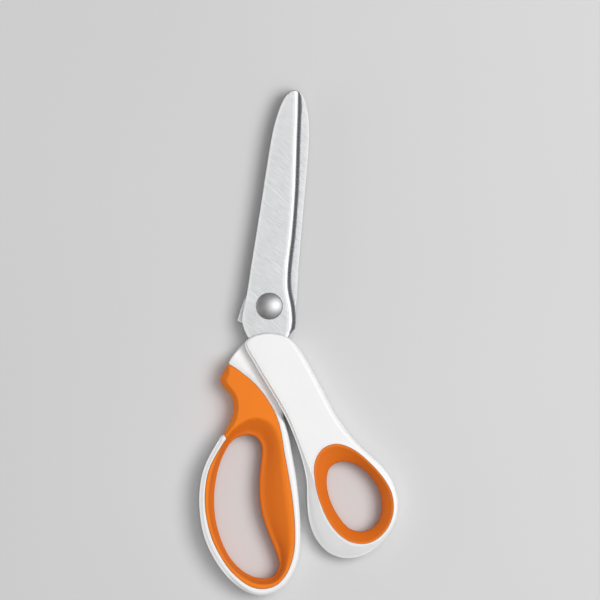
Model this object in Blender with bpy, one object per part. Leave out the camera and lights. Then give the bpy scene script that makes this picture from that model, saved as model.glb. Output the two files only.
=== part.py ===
"""Pinking shears, 24 cm, lying closed on their back.

The frame: the origin is on the pivot axis, in the plane that the shears rest
on. +Y runs along the closed blades to their tips, +Z runs along the pivot axis
towards the face with the domed screw head, and +X is on the thumb's side.
Lengths in this script are millimetres, and MM turns them into metres.

Each blade is a steel plate with a thick lip along its cutting edge. The teeth
are waves in the lip's inner face. Every ridge is an arc round the pivot, so the
two lips slide past each other with the same clearance at every angle.
"""

import math

import bmesh
import bpy
from mathutils import Vector

MM = 0.001

# Heights above the resting plane.
HANDLE_TOP = 13.0
MID_PLANE = 6.5
INNER_FACE = 1.3          # plate's inner face, from the mid-plane
OUTER_FACE = 3.5          # plate's outer face, from the mid-plane
FIT = 0.3                 # clearance between pieces that touch

# Teeth.
TOOTH_PITCH = 5.0
TOOTH_HEIGHT = 1.15       # of the wave, either way from the mid-plane
TOOTH_START = 20.0        # distance from the pivot
TOOTH_END = 105.0
LIP_WIDTH = 5.0
LIP_SHOULDER = 0.6

# Cutting side of the blade, as (height from the mid-plane, inset from the edge).
EDGE_LEVELS = [(-1.6, 0.0), (1.7, 0.0), (2.9, 1.5), (3.3, 2.2), (3.5, 3.2)]

# Pivot.
SHANK_RADIUS = 3.0
PIVOT_HOLE = 3.3
HEAD_RADIUS = 6.35
HEAD_HEIGHT = 2.3
NUT_RADIUS = 6.0
SPACER_RADIUS = 8.5
ANCHOR_HOLE = 2.2
ANCHOR_POST = 1.8
TURN_SEGMENTS = 40

# Blade outline, seen from the outer face with the cutting edge on the right.
CUTTING_EDGE = [(9.6, 8.9), (8.5, 18.0), (8.4, 33.0), (7.4, 56.0), (5.4, 79.0), (4.4, 91.0), (3.7, 98.0),
                (2.4, 101.8), (0.0, 103.0)]
FRONT_HEEL = [(13.4, -9.2), (13.4, -5.9), (12.0, 1.5)]
REAR_HEEL = [(14.3, -8.7), (13.9, -5.9), (12.3, 1.5)]
FRONT_SPINE = [(0.0, 103.0), (-2.5, 102.0), (-4.7, 98.8), (-6.5, 93.2), (-7.9, 85.6), (-8.7, 76.0),
               (-9.6, 50.0), (-10.9, 17.0), (-11.4, 3.0), (-12.2, -4.5), (-11.9, -9.4), (-8.6, -15.8)]
REAR_SPINE = [(0.0, 103.0), (-2.6, 102.0), (-5.0, 98.8), (-7.0, 93.2), (-8.6, 85.6), (-9.4, 76.0),
              (-10.3, 50.0), (-11.4, 20.0), (-12.4, 2.0), (-11.9, -9.4), (-8.6, -15.8)]
FRONT_TANG = [(-3.6, -19.6), (2.4, -25.8), (8.2, -34.0), (14.2, -43.0), (17.2, -44.8), (20.8, -42.2),
              (20.6, -39.2), (16.2, -32.0), (12.0, -24.0), (10.0, -17.0), (10.4, -13.5)]
REAR_TANG = [(-8.0, -22.0), (-5.2, -34.0), (-3.8, -42.5), (-1.0, -45.0), (3.0, -44.4),
             (5.4, -41.0), (6.4, -33.0), (7.0, -22.0), (7.2, -17.0), (9.2, -13.5), (11.6, -9.6)]
FRONT_SHAPE = (FRONT_HEEL, FRONT_SPINE, FRONT_TANG)
REAR_SHAPE = (REAR_HEEL, REAR_SPINE, REAR_TANG)
FRONT_ANCHORS = [(4.5, -22.0), (15.0, -36.5)]
REAR_ANCHORS = [(0.5, -21.0), (0.9, -38.0)]

# Thumb handle: (x, y, width of the rounded edge seen from above).
FRONT_OUTLINE = [(1.5, -12.7, 2.6), (9.5, -13.2, 2.6), (15.6, -17.3, 2.6), (22.1, -25.3, 2.6),
                 (29.7, -36.2, 2.6), (37.3, -47.1, 2.6), (43.7, -54.3, 2.6), (51.1, -60.9, 2.0),
                 (60.4, -67.4, 1.6), (67.3, -74.4, 1.4), (71.6, -85.2, 1.4), (71.2, -94.5, 1.4),
                 (66.8, -103.8, 1.6), (59.7, -110.9, 4.0), (50.7, -114.3, 7.4), (41.5, -112.6, 8.6),
                 (33.9, -105.4, 8.4), (29.6, -95.0, 6.8), (27.2, -80.0, 3.4), (22.5, -67.3, 2.6),
                 (14.3, -52.0, 2.6), (5.3, -39.9, 2.6), (-5.0, -26.4, 2.6), (-9.6, -18.8, 2.6),
                 (-6.6, -15.4, 2.6), (-2.9, -13.7, 2.6)]
# Where the thumb handle lies over the finger handle, it is cut away below.
STEP_REGION = [(-20.0, -5.0), (10.4, -5.0), (11.4, -14.0), (12.4, -24.0), (13.4, -36.0),
               (14.0, -46.0), (15.0, -53.5), (-20.0, -53.5)]
FRONT_UNDERSIDE = 6.7
THUMB_SEAT = [(39.4, -60.9), (47.5, -62.6), (55.5, -67.6), (62.5, -73.6), (67.8, -80.8), (69.7, -90.1),
              (67.0, -99.3), (60.0, -105.6), (50.8, -106.0), (42.3, -100.5), (35.1, -90.0),
              (31.0, -79.0), (30.1, -70.5), (33.2, -63.8)]
THUMB_HOLE = [(42.6, -69.2), (48.6, -69.4), (54.8, -72.6), (60.0, -77.6), (63.4, -84.0), (64.2, -91.5),
              (62.2, -97.2), (56.8, -100.7), (50.4, -100.2), (44.6, -95.3), (39.6, -88.0),
              (37.0, -80.5), (37.0, -74.0), (39.0, -71.0)]
# Section of the thumb grip, as (share of the way from the seat to the hole, height).
THUMB_SECTION = [(0.0, 0.5), (0.0, 12.5), (0.12, 13.0), (0.45, 12.6), (0.8, 11.0), (0.97, 8.6),
                 (1.0, 6.5), (0.97, 4.4), (0.8, 2.0), (0.45, 0.4), (0.12, 0.0)]

# Finger handle: the hard core's outline, then the soft grip's outline.
REAR_OUTLINE = [(-1.0, -13.8), (6.5, -13.4), (10.2, -17.5), (11.6, -30.0), (12.6, -42.0), (13.2, -51.9),
                (16.0, -58.9), (19.0, -68.1), (22.4, -79.5), (25.1, -91.1), (27.2, -102.8),
                (28.2, -114.6), (27.0, -121.9), (23.2, -130.1), (17.5, -135.0), (11.0, -136.7),
                (3.4, -134.9), (-5.4, -128.8), (-12.8, -120.4), (-18.0, -111.4), (-21.2, -100.8),
                (-22.5, -91.0), (-22.0, -81.4), (-19.7, -73.4), (-16.4, -65.9), (-15.2, -63.5),
                (-12.6, -62.4), (-10.0, -57.6), (-8.6, -52.5), (-8.8, -47.5), (-12.4, -42.6),
                (-16.4, -38.0), (-14.6, -32.5), (-16.0, -28.9), (-10.2, -19.0), (-7.3, -16.3)]
GRIP_OUTLINE = [(-16.2, -29.8), (-9.1, -32.9), (-2.9, -36.9), (2.4, -41.8), (6.9, -47.2), (10.4, -53.0),
                (13.2, -60.5), (14.9, -66.7), (17.9, -76.3), (21.1, -87.2), (23.5, -97.5),
                (25.0, -106.9), (25.3, -114.9), (23.9, -122.6), (20.6, -129.0), (16.4, -132.1),
                (10.8, -133.3), (4.6, -131.8), (-3.2, -126.6), (-8.9, -120.2), (-13.3, -113.6),
                (-16.8, -105.7), (-19.1, -96.9), (-19.9, -88.4), (-19.2, -80.0), (-16.5, -72.3),
                (-13.7, -66.3), (-13.0, -64.3), (-14.0, -62.4), (-12.9, -59.1),
                (-11.6, -55.4), (-11.1, -51.9), (-11.3, -48.3), (-12.4, -45.5), (-14.7, -42.8),
                (-17.5, -40.3), (-19.2, -37.0), (-17.7, -33.5)]
# Mouth and waist of the finger opening, point for point.
FINGER_MOUTH = [(-3.5, -54.0), (3.5, -53.2), (9.5, -56.0), (13.0, -63.5), (16.2, -75.0), (19.6, -87.0),
                (22.0, -98.0), (23.4, -108.5), (23.6, -116.5), (22.2, -123.8), (18.4, -129.4),
                (10.8, -131.2), (2.4, -128.6), (-6.0, -121.8), (-12.0, -113.0), (-16.2, -103.0),
                (-18.2, -91.5), (-17.6, -80.5), (-15.2, -71.0), (-11.8, -62.0)]
FINGER_HOLE = [(-2.8, -61.8), (1.6, -62.9), (4.2, -66.6), (4.7, -74.0), (4.9, -82.5), (6.0, -90.5),
               (8.3, -98.5), (12.2, -106.8), (16.4, -114.4), (19.2, -121.5), (17.2, -126.8),
               (11.0, -128.6), (3.4, -126.8), (-4.2, -120.9), (-10.0, -112.0), (-13.8, -101.8),
               (-15.5, -90.5), (-14.9, -79.5), (-12.9, -71.5), (-9.0, -64.5)]
# Finger opening from below to above, as (height, share of the way from waist to mouth).
FINGER_LEVELS = [(-2.0, 1.0), (0.0, 1.0), (1.8, 0.5), (2.7, 0.15), (4.5, 0.0),
                 (8.5, 0.0), (10.3, 0.15), (11.2, 0.5), (13.0, 1.0), (15.0, 1.0)]
UNDER_GRIP = [(-3.5, -54.0), (3.5, -53.4), (9.6, -56.6), (13.6, -64.0), (17.3, -75.0), (20.7, -87.0),
              (23.3, -98.0), (24.8, -108.5), (24.9, -116.5), (23.0, -124.6), (19.2, -130.4),
              (10.8, -132.8), (1.8, -130.4), (-7.0, -122.2), (-13.2, -113.2), (-17.6, -103.2),
              (-19.4, -91.5), (-19.0, -80.5), (-16.4, -71.4), (-11.8, -61.6)]
WEB_BOTTOM = 4.8
WEB_TOP = 8.2
LINING = 2.5              # soft material between the core and the finger opening
POCKET_ROOM = 20.0        # how far cutters reach past the handles

# The recess in the finger handle below the thumb handle's edge, as pairs of points:
# the foot of the slope, then its top.
SLOPE = [((-14.0, -12.0), (-22.0, -18.0)), ((-10.0, -19.0), (-17.6, -26.5)),
         ((-5.4, -26.7), (-12.0, -31.6)), ((0.0, -33.3), (-5.2, -35.6)),
         ((4.9, -40.2), (1.2, -41.0)), ((10.0, -47.4), (7.6, -48.4)),
         ((13.8, -52.6), (12.8, -53.4)), ((17.0, -57.0), (16.2, -57.8))]
SLOPE_FOOT = 6.2
ACROSS = Vector((0.82, 0.57))   # from the recess towards the thumb handle


# ---------------------------------------------------------------- tools

def clear_scene():
    for item in list(bpy.data.objects):
        bpy.data.objects.remove(item, do_unlink=True)


def make_material(name, colour, roughness, metallic=0.0):
    finish = bpy.data.materials.new(name)
    finish.use_nodes = True
    shader = finish.node_tree.nodes["Principled BSDF"]
    shader.inputs["Base Color"].default_value = (*colour, 1.0)
    shader.inputs["Roughness"].default_value = roughness
    shader.inputs["Metallic"].default_value = metallic
    return finish


def between(a, b, share):
    return tuple(p + (q - p) * share for p, q in zip(a, b))


def spline_span(before, start, end, after, share):
    """A point on the centripetal Catmull-Rom curve from start to end."""
    points = [Vector(p) for p in (before, start, end, after)]
    knots = [0.0]
    for first, second in zip(points, points[1:]):
        knots.append(knots[-1] + math.sqrt((second.xy - first.xy).length))
    now = knots[1] + (knots[2] - knots[1]) * share
    for gap in (1, 2, 3):
        points = [points[i] * ((knots[i + gap] - now) / (knots[i + gap] - knots[i]))
                  + points[i + 1] * ((now - knots[i]) / (knots[i + gap] - knots[i]))
                  for i in range(len(points) - 1)]
    return tuple(points[0])


def closed_curve(points, steps=3):
    """A smooth closed outline through the points."""
    count = len(points)
    return [spline_span(points[i - 1], points[i], points[(i + 1) % count], points[(i + 2) % count], k / steps)
            for i in range(count) for k in range(steps)]


def open_curve(points, steps=3):
    """A smooth line through the points, from the first to the last."""
    first = between(points[1], points[0], 2.0)
    last = between(points[-2], points[-1], 2.0)
    row = [first, *points, last]
    line = [spline_span(*row[i:i + 4], k / steps) for i in range(len(points) - 1) for k in range(steps)]
    return line + [tuple(points[-1])]


def inward(outline):
    """Unit normals pointing into a closed outline, at each of its points."""
    count = len(outline)
    area = sum(outline[i - 1][0] * outline[i][1] - outline[i][0] * outline[i - 1][1] for i in range(count))
    side = 1.0 if area > 0 else -1.0
    normals = []
    for i in range(count):
        along = Vector(outline[(i + 1) % count][:2]) - Vector(outline[i - 1][:2])
        normals.append(Vector((-along.y, along.x)).normalized() * side)
    return normals


def inset(outline, distances):
    """The outline moved inwards, by one distance or by one for each point."""
    if isinstance(distances, (int, float)):
        distances = [distances] * len(outline)
    return [(p[0] + n.x * d, p[1] + n.y * d) for p, n, d in zip(outline, inward(outline), distances)]


def solid(name, rings, finish, closed_tube=False):
    """A closed solid from rings of (x, y, z) points: capped, or joined end to end."""
    mesh = bmesh.new()
    rows = [[mesh.verts.new(Vector(p) * MM) for p in ring] for ring in rings]
    pairs = list(zip(rows, rows[1:]))
    if closed_tube:
        pairs.append((rows[-1], rows[0]))
    else:
        mesh.faces.new(rows[0])
        mesh.faces.new(rows[-1])
    for low, high in pairs:
        for i in range(len(low)):
            mesh.faces.new((low[i - 1], low[i], high[i], high[i - 1]))
    bmesh.ops.recalc_face_normals(mesh, faces=mesh.faces)
    data = bpy.data.meshes.new(name)
    mesh.to_mesh(data)
    mesh.free()
    data.materials.append(finish)
    data.shade_smooth()
    data.set_sharp_from_angle(angle=math.radians(35))
    piece = bpy.data.objects.new(name, data)
    bpy.context.scene.collection.objects.link(piece)
    return piece


def slab(name, outline, bottom, top, finish):
    """An upright solid with one outline all the way up."""
    return solid(name, [[(x, y, z) for x, y in outline] for z in (bottom, top)], finish)


def rounded_slab(name, outline, widths, height, finish):
    """A slab from 0 to HANDLE_TOP whose upper and lower edges are rounded."""
    quarter = [math.radians(a) for a in (0, 30, 60, 90)]
    upper = [(HANDLE_TOP - height * (1 - math.cos(a)), 1 - math.sin(a)) for a in quarter]
    lower = [(HANDLE_TOP - z, share) for z, share in upper]
    rings = []
    for z, share in lower + upper[::-1]:
        flat = inset(outline, [w * share for w in widths])
        rings.append([(x, y, z) for x, y in flat])
    return solid(name, rings, finish)


def cylinder(name, centre, radius, bottom, top, finish):
    turn = [2 * math.pi * i / 24 for i in range(24)]
    outline = [(centre[0] + radius * math.cos(a), centre[1] + radius * math.sin(a)) for a in turn]
    return slab(name, outline, bottom, top, finish)


def turned(name, profile, finish, closed=True):
    """A round piece on the pivot axis from (radius, height) points; its ends may be on the axis."""
    mesh = bmesh.new()
    points = [mesh.verts.new((r * MM, 0.0, z * MM)) for r, z in profile]
    edges = [mesh.edges.new(pair) for pair in zip(points, points[1:])]
    if closed:
        edges.append(mesh.edges.new((points[-1], points[0])))
    bmesh.ops.spin(mesh, geom=points + edges, axis=(0, 0, 1), cent=(0, 0, 0),
                   steps=TURN_SEGMENTS, angle=2 * math.pi, use_duplicate=False)
    bmesh.ops.remove_doubles(mesh, verts=mesh.verts, dist=0.00001)
    bmesh.ops.recalc_face_normals(mesh, faces=mesh.faces)
    data = bpy.data.meshes.new(name)
    mesh.to_mesh(data)
    mesh.free()
    data.materials.append(finish)
    data.shade_smooth()
    data.set_sharp_from_angle(angle=math.radians(35))
    piece = bpy.data.objects.new(name, data)
    bpy.context.scene.collection.objects.link(piece)
    return piece


def combine(piece, other, operation):
    """Cut the other solid from a piece, or join it on, and hide the other."""
    step = piece.modifiers.new(other.name, "BOOLEAN")
    step.operation = operation
    step.solver = "EXACT"
    step.object = other
    other.parent = piece
    other.hide_render = True
    other.display_type = "WIRE"


# ---------------------------------------------------------------- blades

def blade_outline(shape):
    """The blade's points, and how far each follows the edge's inset."""
    heel, spine, tang = shape
    edge = open_curve(heel + CUTTING_EDGE)
    outline = edge + open_curve(spine)[1:] + tang
    tip = Vector(CUTTING_EDGE[-1])
    follow = [min(1.0, (Vector(p) - tip).length / 8.0) for p in edge]
    return outline, follow + [0.0] * (len(outline) - len(edge))


def edge_angle(radius):
    """The cutting edge's angle round the pivot, at a distance from it."""
    edge = [Vector(p) for p in open_curve(CUTTING_EDGE) if p[1] > 0]
    for first, second in zip(edge, edge[1:]):
        if first.length <= radius <= second.length:
            share = (radius - first.length) / (second.length - first.length)
            point = first.lerp(second, share)
            return math.atan2(point.y, point.x)
    return math.pi / 2


def tooth_cutter(name, sign, flip, finish):
    """What is cut from a blade's inner side: flat by the plate, waves under the lip."""
    offsets = [45.0, 15.0, LIP_WIDTH + LIP_SHOULDER, LIP_WIDTH, LIP_WIDTH / 2, 0.5, -4.0]
    count = int((TOOTH_END - TOOTH_START) / (TOOTH_PITCH / 2)) + 1
    stations = [(TOOTH_START - 1.0, INNER_FACE)]
    for i in range(count):
        wave = TOOTH_HEIGHT * sign * (-1) ** i
        stations.append((TOOTH_START + i * TOOTH_PITCH / 2, wave + FIT / 2))
    rings = []
    for radius, height in stations:
        start = edge_angle(radius)
        top = []
        bottom = []
        for offset in offsets:
            angle = start + min(offset, 1.4 * radius) / radius
            place = (radius * math.cos(angle), radius * math.sin(angle))
            level = INNER_FACE if offset > LIP_WIDTH else height
            top.append((place[0], place[1], level))
            bottom.append((place[0], place[1], -6.0))
        rings.append([flip(p) for p in top + bottom[::-1]])
    return solid(name, rings, finish)


def make_blade(name, shape, anchors, side, finish):
    """A blade; side is 1 for the front one and -1 for the rear one, which is turned over."""
    def flip(point):
        return point[0] * side, point[1], MID_PLANE + point[2] * side

    outline, follow = blade_outline(shape)
    rings = []
    for height, depth in EDGE_LEVELS:
        flat = inset(outline, [depth * share for share in follow])
        rings.append([flip((x, y, height)) for x, y in flat])
    blade = solid(name, rings, finish)
    inside = [MID_PLANE - 6.0 * side, MID_PLANE + INNER_FACE * side]
    root = cylinder(name + "_root_cutter", (0.0, 0.0), TOOTH_START - 0.5, *sorted(inside), finish)
    combine(blade, root, "DIFFERENCE")
    tail = slab(name + "_tail_cutter", [(-50, -70), (50, -70), (50, -2), (-50, -2)], *sorted(inside), finish)
    combine(blade, tail, "DIFFERENCE")
    combine(blade, tooth_cutter(name + "_tooth_cutter", side, flip, finish), "DIFFERENCE")
    holes = [((0.0, 0.0), PIVOT_HOLE)] + [(place, ANCHOR_HOLE) for place in anchors]
    for i, (place, radius) in enumerate(holes):
        drill = cylinder(f"{name}_drill_{i}", (place[0] * side, place[1]), radius, -5.0, 20.0, finish)
        combine(blade, drill, "DIFFERENCE")
    return blade


# ---------------------------------------------------------------- pivot

def make_screw(finish):
    """The domed head with its shank, which ends inside the nut."""
    seat = MID_PLANE + OUTER_FACE + 0.1
    rim = 0.5
    ball = (HEAD_RADIUS ** 2 + (HEAD_HEIGHT - rim) ** 2) / (2 * (HEAD_HEIGHT - rim))
    reach = math.asin(HEAD_RADIUS / ball)
    dome = []
    for i in range(7):
        angle = reach * i / 6
        dome.append((ball * math.sin(angle), seat + HEAD_HEIGHT - ball * (1 - math.cos(angle))))
    profile = dome + [(HEAD_RADIUS - 0.2, seat), (SHANK_RADIUS, seat), (SHANK_RADIUS, 1.1), (0.0, 1.1)]
    return turned("pivot_screw", profile, finish, closed=False)


def make_nut(finish):
    """The flat round nut that the shears rest on, with a seat for the spring washer."""
    bore = SHANK_RADIUS + 0.2
    profile = [(0.0, 0.0), (NUT_RADIUS - 0.5, 0.0), (NUT_RADIUS, 0.5), (NUT_RADIUS, 2.8), (5.6, 2.8),
               (5.6, 1.8), (bore, 1.8), (bore, 0.8), (0.0, 0.8)]
    return turned("pivot_nut", profile, finish, closed=False)


def make_spacer(finish):
    low = MID_PLANE - INNER_FACE + 0.15
    high = MID_PLANE + INNER_FACE - 0.15
    profile = [(PIVOT_HOLE, low), (SPACER_RADIUS, low), (SPACER_RADIUS, high), (PIVOT_HOLE, high)]
    return turned("pivot_spacer", profile, finish)


def make_spring_washer(finish):
    """A dished ring between the nut and the rear blade."""
    profile = [(PIVOT_HOLE, 2.3), (5.3, 2.0), (5.3, 2.5), (PIVOT_HOLE, 2.8)]
    return turned("spring_washer", profile, finish)


# ---------------------------------------------------------------- handles

def seat_tang(handle, shape, anchors, side, finish):
    """Cut the blade's pocket from a handle and put the posts in its anchor holes."""
    outline, _ = blade_outline(shape)
    room = [(x * side, y) for x, y in inset(outline, -FIT)]
    low = MID_PLANE + side * (INNER_FACE - FIT)
    high = MID_PLANE + side * (OUTER_FACE + FIT)
    pocket = slab(handle.name + "_pocket", room, min(low, high), max(low, high), finish)
    combine(handle, pocket, "DIFFERENCE")
    for i, place in enumerate(anchors):
        centre = (place[0] * side, place[1])
        ends = sorted((low - 0.4 * side, high + 0.8 * side))
        post = cylinder(f"{handle.name}_post_{i}", centre, ANCHOR_POST, *ends, finish)
        combine(handle, post, "UNION")


def make_front_handle(finish):
    curve = closed_curve(FRONT_OUTLINE)
    outline = [p[:2] for p in curve]
    handle = rounded_slab("front_handle", outline, [p[2] for p in curve], 3.2, finish)
    step = slab("front_handle_step", STEP_REGION, -POCKET_ROOM, FRONT_UNDERSIDE, finish)
    combine(handle, step, "DIFFERENCE")
    seat = slab("front_handle_seat", closed_curve(THUMB_SEAT), -POCKET_ROOM, POCKET_ROOM, finish)
    combine(handle, seat, "DIFFERENCE")
    seat_tang(handle, FRONT_SHAPE, FRONT_ANCHORS, 1, finish)
    return handle


def make_thumb_grip(finish):
    """The soft ring that lines the thumb hole."""
    outer = inset(closed_curve(THUMB_SEAT), FIT)
    inner = closed_curve(THUMB_HOLE)
    rings = []
    for share, height in THUMB_SECTION:
        rings.append([(*between(a, b, share), height) for a, b in zip(outer, inner)])
    return solid("thumb_grip", rings, finish, closed_tube=True)


def finger_opening(name, finish):
    mouth = closed_curve(FINGER_MOUTH)
    waist = closed_curve(FINGER_HOLE)
    rings = [[(*between(b, a, share), z) for a, b in zip(mouth, waist)] for z, share in FINGER_LEVELS]
    return solid(name, rings, finish)


def hollow_core(core, grow, finish):
    """Take the soft grip's underside and the finger opening's surroundings from a core."""
    name = core.name
    under = inset(closed_curve(UNDER_GRIP), grow)
    combine(core, slab(name + "_under", under, -POCKET_ROOM, WEB_BOTTOM - grow, finish), "DIFFERENCE")
    around = inset(closed_curve(FINGER_HOLE), grow - LINING)
    combine(core, slab(name + "_around", around, -POCKET_ROOM, POCKET_ROOM, finish), "DIFFERENCE")


def recess_cutter(finish):
    """The space that the thumb handle's shank closes into, with its sloping side."""
    rings = []
    for foot, head in SLOPE:
        away = Vector(foot) + ACROSS * 60.0
        rings.append([(*foot, SLOPE_FOOT), (*head, HANDLE_TOP + 0.2), (*head, 30.0), (*away, 30.0),
                      (*away, SLOPE_FOOT)])
    return solid("rear_handle_recess", rings, finish)


def make_rear_handle(finish):
    outline = closed_curve(REAR_OUTLINE)
    core = rounded_slab("rear_handle", outline, [1.6] * len(outline), 2.2, finish)
    grip_seat = slab("rear_handle_grip_seat", closed_curve(GRIP_OUTLINE), WEB_TOP, POCKET_ROOM, finish)
    combine(core, grip_seat, "DIFFERENCE")
    hollow_core(core, 0.0, finish)
    combine(core, recess_cutter(finish), "DIFFERENCE")
    seat_tang(core, REAR_SHAPE, REAR_ANCHORS, -1, finish)
    return core


def make_finger_grip(finish):
    """The soft grip: over the core, down its left side and all round the finger opening."""
    outline = inset(closed_curve(GRIP_OUTLINE), FIT)
    grip = rounded_slab("finger_grip", outline, [0.7] * len(outline), 0.9, finish)
    room = slab("finger_grip_core_room", inset(closed_curve(REAR_OUTLINE), -FIT), -POCKET_ROOM,
                WEB_TOP + FIT, finish)
    hollow_core(room, FIT, finish)
    combine(grip, room, "DIFFERENCE")
    combine(grip, finger_opening("finger_grip_opening", finish), "DIFFERENCE")
    return grip


# ---------------------------------------------------------------- assembly

def make_shears():
    steel = make_material("blade_steel", (0.66, 0.66, 0.67), 0.32, 1.0)
    screw_steel = make_material("screw_steel", (0.62, 0.62, 0.63), 0.38, 1.0)
    acetal = make_material("acetal", (0.08, 0.08, 0.09), 0.45)
    spring_steel = make_material("spring_steel", (0.45, 0.45, 0.47), 0.35, 1.0)
    white_plastic = make_material("white_plastic", (0.86, 0.85, 0.86), 0.35)
    soft_grip = make_material("soft_grip", (0.84, 0.22, 0.03), 0.6)

    pivot = bpy.data.objects.new("front_half_pivot", None)
    bpy.context.scene.collection.objects.link(pivot)

    make_blade("rear_blade", REAR_SHAPE, REAR_ANCHORS, -1, steel)
    make_rear_handle(white_plastic)
    make_finger_grip(soft_grip)
    make_screw(screw_steel)
    make_nut(screw_steel)
    make_spacer(acetal)
    make_spring_washer(spring_steel)
    front_blade = make_blade("front_blade", FRONT_SHAPE, FRONT_ANCHORS, 1, steel)
    for piece in (front_blade, make_front_handle(white_plastic), make_thumb_grip(soft_grip)):
        piece.parent = pivot


clear_scene()
make_shears()
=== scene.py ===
"""Looks of the pinking shears: fine meshes over the CAD frame, materials, light and camera.

Lengths in this script are millimetres in the CAD's frame, and MM turns them
into metres. The shears lie on their back: +Y to the tips, +Z towards the
domed screw head, +X to the thumb's side. The pivot axis is at x = y = 0.
"""

import math

import bmesh
import bpy
import numpy as np
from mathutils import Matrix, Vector
from mathutils.geometry import delaunay_2d_cdt


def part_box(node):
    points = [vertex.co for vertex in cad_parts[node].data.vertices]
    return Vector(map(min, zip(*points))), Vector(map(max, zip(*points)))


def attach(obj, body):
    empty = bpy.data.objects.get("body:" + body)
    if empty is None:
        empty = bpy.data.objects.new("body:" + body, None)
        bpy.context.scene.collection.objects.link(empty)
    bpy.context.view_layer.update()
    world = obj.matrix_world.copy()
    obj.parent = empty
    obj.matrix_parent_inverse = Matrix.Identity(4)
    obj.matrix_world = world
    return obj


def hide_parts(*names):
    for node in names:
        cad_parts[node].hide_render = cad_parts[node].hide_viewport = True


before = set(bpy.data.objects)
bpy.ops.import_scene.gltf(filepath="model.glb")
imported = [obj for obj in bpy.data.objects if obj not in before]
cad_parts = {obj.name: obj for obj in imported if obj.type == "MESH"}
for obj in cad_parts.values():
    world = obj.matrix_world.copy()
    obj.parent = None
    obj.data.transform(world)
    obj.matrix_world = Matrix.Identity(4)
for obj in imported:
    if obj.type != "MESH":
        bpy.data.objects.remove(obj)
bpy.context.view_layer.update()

MM = 0.001


def node_span(node, axis):
    """A CAD node's lowest and highest place along an axis, in millimetres."""
    low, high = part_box(node)
    return low[axis] / MM, high[axis] / MM


# Heights, read from the frame. The toothed lips mesh round the mid-plane.
HANDLE_TOP = node_span("front_handle", 2)[1]
BLADE_TOP = node_span("front_blade", 2)[1]
BLADE_BOTTOM = node_span("rear_blade", 2)[0]
MID_PLANE = (BLADE_TOP + BLADE_BOTTOM) / 2
INNER_FACE = 1.3          # of a blade, from the mid-plane
SKIN = 0.1                # the handles' sides stay this far inside the CAD outlines
BLADE_SKIN = 0.02         # and the cutting edges this far

# Blade outline, seen from its outer face with the cutting edge on the right.
CUTTING_EDGE = [
    (9.6, 8.9), (8.5, 18.0), (8.4, 33.0), (7.4, 56.0), (5.4, 79.0), (4.4, 91.0), (3.7, 98.0)
]
TIP = [(2.4, 101.8), (0.0, 103.0)]
FRONT_SPINE = [
    (0.0, 103.0), (-2.5, 102.0), (-4.7, 98.8), (-6.5, 93.2), (-7.9, 85.6), (-8.7, 76.0),
    (-9.6, 50.0), (-10.9, 17.0), (-11.4, 3.0), (-12.2, -4.5), (-11.9, -9.4), (-8.6, -15.8)
]
REAR_SPINE = [
    (0.0, 103.0), (-2.6, 102.0), (-5.0, 98.8), (-7.0, 93.2), (-8.6, 85.6), (-9.4, 76.0),
    (-10.3, 50.0), (-11.4, 20.0), (-12.4, 2.0), (-11.9, -9.4), (-8.6, -15.8)
]
FRONT_HEEL = [(13.4, -9.2), (13.4, -5.9), (12.0, 1.5)]
REAR_HEEL = [(14.3, -8.7), (13.9, -5.9), (12.3, 1.5)]
FRONT_TANG = [
    (-3.6, -19.6), (2.4, -25.8), (8.2, -34.0), (14.2, -43.0), (17.2, -44.8), (20.8, -42.2),
    (20.6, -39.2), (16.2, -32.0), (12.0, -24.0), (10.0, -17.0), (10.4, -13.5)
]
REAR_TANG = [
    (-8.0, -22.0), (-5.2, -34.0), (-3.8, -42.5), (-1.0, -45.0), (3.0, -44.4), (5.4, -41.0),
    (6.4, -33.0), (7.0, -22.0), (7.2, -17.0), (9.2, -13.5), (11.6, -9.6)
]
FRONT_SHAPE = (FRONT_HEEL, FRONT_SPINE, FRONT_TANG)
REAR_SHAPE = (REAR_HEEL, REAR_SPINE, REAR_TANG)
# Outer surface beside the cutting edge, as (distance from the edge, height from the mid-plane).
EDGE_SECTION = [
    (0.0, 1.45), (0.08, 1.56), (0.5, 1.98), (0.95, 2.38), (1.4, 2.73), (1.8, 3.0), (2.05, 3.13),
    (2.35, 3.25), (2.7, 3.36), (3.1, 3.43), (3.5, 3.475), (4.1, 3.5)
]
SIDE_WIDTH = 1.6          # of the ground side beside the edge, painted darker as shade
SHOULDER_WIDTH = 1.85     # of the round that joins it to the flat, painted darker as shade
EDGE_BREAK_WIDTH = 0.3    # of the small round all along the outline
EDGE_BREAK_DROP = 0.22
EDGE_WEAR = 0.35          # how far from a blade's edges the steel is rubbed bright
BLADE_SPACING = 1.6       # between the points of a blade's flat
LINE_RUN_ON = 8.0         # the milled line runs on by this, and at the tip by this many steps
WALL_LEAN = 0.05          # faces that lean out or in by less than this are walls
TEETH_FROM = 12.0         # the ground teeth's finish starts this far up the blade
PIVOT_HOLE = 3.3

# The screw's dome stands on a low rim, just off the blade.
SCREW_GAP = 0.1
SCREW_RIM = 0.55
SCREW_SKIN = 0.03
SHANK_RADIUS = 3.0
DOME_STEPS = 24

# Teeth: waves along the distance from the pivot.
TOOTH_PITCH = 5.0
TOOTH_HEIGHT = 1.15
TOOTH_START = 20.0
TOOTH_END = 105.0
TOOTH_ROUNDING = 0.985    # 1 would give sharp crests
LIP_WIDTH = 5.0
LIP_SHOULDER = 0.6
TOOTH_GAP = 0.15
CREST_HALF = 0.35         # half the width of a crest or root
LINE_MARGIN = 0.8         # how far the tooth lines run on past the lip
HEEL_TOP = 5.0            # further up, the edge only moves away from the pivot


def with_edge(edge, points):
    """Outline points that share one kind of edge."""
    return [(*point, *edge) for point in points]


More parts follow.
